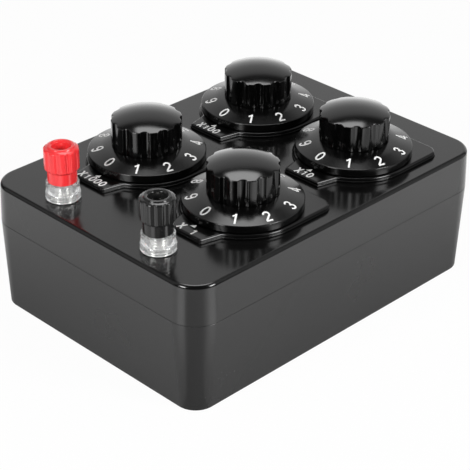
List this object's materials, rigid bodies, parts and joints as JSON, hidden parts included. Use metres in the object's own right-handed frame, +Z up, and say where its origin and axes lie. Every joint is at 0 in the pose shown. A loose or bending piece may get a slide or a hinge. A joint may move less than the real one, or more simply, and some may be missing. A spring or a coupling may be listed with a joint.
{
  "type": "decade resistance box",
  "caption": "Bench box in black plastic with fluted knobs on numbered dials for decades of resistance, and a red and a black binding post at one end.",
  "frame": {"origin": "middle of the case's footprint, on the surface that it stands on", "axes": "+Z up through the cover, -Y towards the end with the binding posts, +X to the right for someone at that end"},
  "size_m": [0.1148, 0.157, 0.0754],
  "materials": {
    "case_satin_black": "satin",
    "cover_gloss_black": "polished",
    "dial_gloss_black": "polished, white print",
    "cap_red": "glossy",
    "cap_black": "glossy",
    "collar_clear": "clear, polished",
    "nickel_plate": "nickel plated, polished",
    "brass": "rolled",
    "zinc_plated_steel": "zinc plated",
    "die_cast_zinc": "cast, satin",
    "paper_laminate": "satin",
    "resistor_tan": "lacquered",
    "wire_insulation": "satin"
  },
  "bodies": {
    "case": {"base_shell": "case_satin_black", "top_cover": "cover_gloss_black", "case_screw_front_left": "zinc_plated_steel", "case_screw_back_left": "zinc_plated_steel", "case_screw_front_right": "zinc_plated_steel", "case_screw_back_right": "zinc_plated_steel", "x1_plate": "dial_gloss_black", "x1_bushing_nut": "zinc_plated_steel", "x1_switch_housing": "die_cast_zinc", "x1_contact_deck": "paper_laminate", "x1_resistor_chain": "resistor_tan", "x10_plate": "dial_gloss_black", "x10_bushing_nut": "zinc_plated_steel", "x10_switch_housing": "die_cast_zinc", "x10_contact_deck": "paper_laminate", "x10_resistor_chain": "resistor_tan", "x100_plate": "dial_gloss_black", "x100_bushing_nut": "zinc_plated_steel", "x100_switch_housing": "die_cast_zinc", "x100_contact_deck": "paper_laminate", "x100_resistor_chain": "resistor_tan", "x1000_plate": "dial_gloss_black", "x1000_bushing_nut": "zinc_plated_steel", "x1000_switch_housing": "die_cast_zinc", "x1000_contact_deck": "paper_laminate", "x1000_resistor_chain": "resistor_tan", "red_collar": "collar_clear", "red_stud": "nickel_plate", "red_post_nut": "nickel_plate", "red_solder_lug": "nickel_plate", "black_collar": "collar_clear", "black_stud": "nickel_plate", "black_post_nut": "nickel_plate", "black_solder_lug": "nickel_plate", "wire_red_to_x1000": "wire_insulation", "wire_x1000_to_x100": "wire_insulation", "wire_x100_to_x10": "wire_insulation", "wire_x10_to_x1": "wire_insulation", "wire_x1_to_black": "wire_insulation"},
    "x1_dial": {"x1_knob": "dial_gloss_black", "x1_disc": "dial_gloss_black", "x1_shaft": "zinc_plated_steel", "x1_wiper": "brass"},
    "x10_dial": {"x10_knob": "dial_gloss_black", "x10_disc": "dial_gloss_black", "x10_shaft": "zinc_plated_steel", "x10_wiper": "brass"},
    "x100_dial": {"x100_knob": "dial_gloss_black", "x100_disc": "dial_gloss_black", "x100_shaft": "zinc_plated_steel", "x100_wiper": "brass"},
    "x1000_dial": {"x1000_knob": "dial_gloss_black", "x1000_disc": "dial_gloss_black", "x1000_shaft": "zinc_plated_steel", "x1000_wiper": "brass"},
    "red_washer_body": {"red_clamp_washer": "nickel_plate"},
    "red_cap_body": {"red_cap": "cap_red"},
    "black_washer_body": {"black_clamp_washer": "nickel_plate"},
    "black_cap_body": {"black_cap": "cap_black"}
  },
  "joints": [
    {"name": "x1_turn", "type": "hinge", "parent": "case", "child": "x1_dial", "pos_m": [0.0263, -0.02385, 0.0613], "axis": [0, 0, -1], "range_deg": [0, 324]},
    {"name": "x10_turn", "type": "hinge", "parent": "case", "child": "x10_dial", "pos_m": [0.0263, 0.03745, 0.0613], "axis": [0, 0, -1], "range_deg": [0, 324]},
    {"name": "x100_turn", "type": "hinge", "parent": "case", "child": "x100_dial", "pos_m": [-0.0263, 0.03745, 0.0613], "axis": [0, 0, -1], "range_deg": [0, 324]},
    {"name": "x1000_turn", "type": "hinge", "parent": "case", "child": "x1000_dial", "pos_m": [-0.0263, -0.02385, 0.0613], "axis": [0, 0, -1], "range_deg": [0, 324]},
    {"name": "red_cap_lift", "type": "slide", "parent": "case", "child": "red_washer_body", "axis": [0, 0, 1], "range_m": [0, 0.0035]},
    {"name": "red_cap_turn", "type": "hinge", "parent": "red_washer_body", "child": "red_cap_body", "pos_m": [-0.0263, -0.06625, 0.061], "axis": [0, 0, 1], "range_deg": [0, 1260]},
    {"name": "black_cap_lift", "type": "slide", "parent": "case", "child": "black_washer_body", "axis": [0, 0, 1], "range_m": [0, 0.0035]},
    {"name": "black_cap_turn", "type": "hinge", "parent": "black_washer_body", "child": "black_cap_body", "pos_m": [0.0263, -0.06625, 0.061], "axis": [0, 0, 1], "range_deg": [0, 1260]}
  ],
  "couplings": [
    {"joint": "red_cap_turn", "follows": "red_cap_lift", "rad_per_m": 6283.2},
    {"joint": "black_cap_turn", "follows": "black_cap_lift", "rad_per_m": 6283.2}
  ]
}
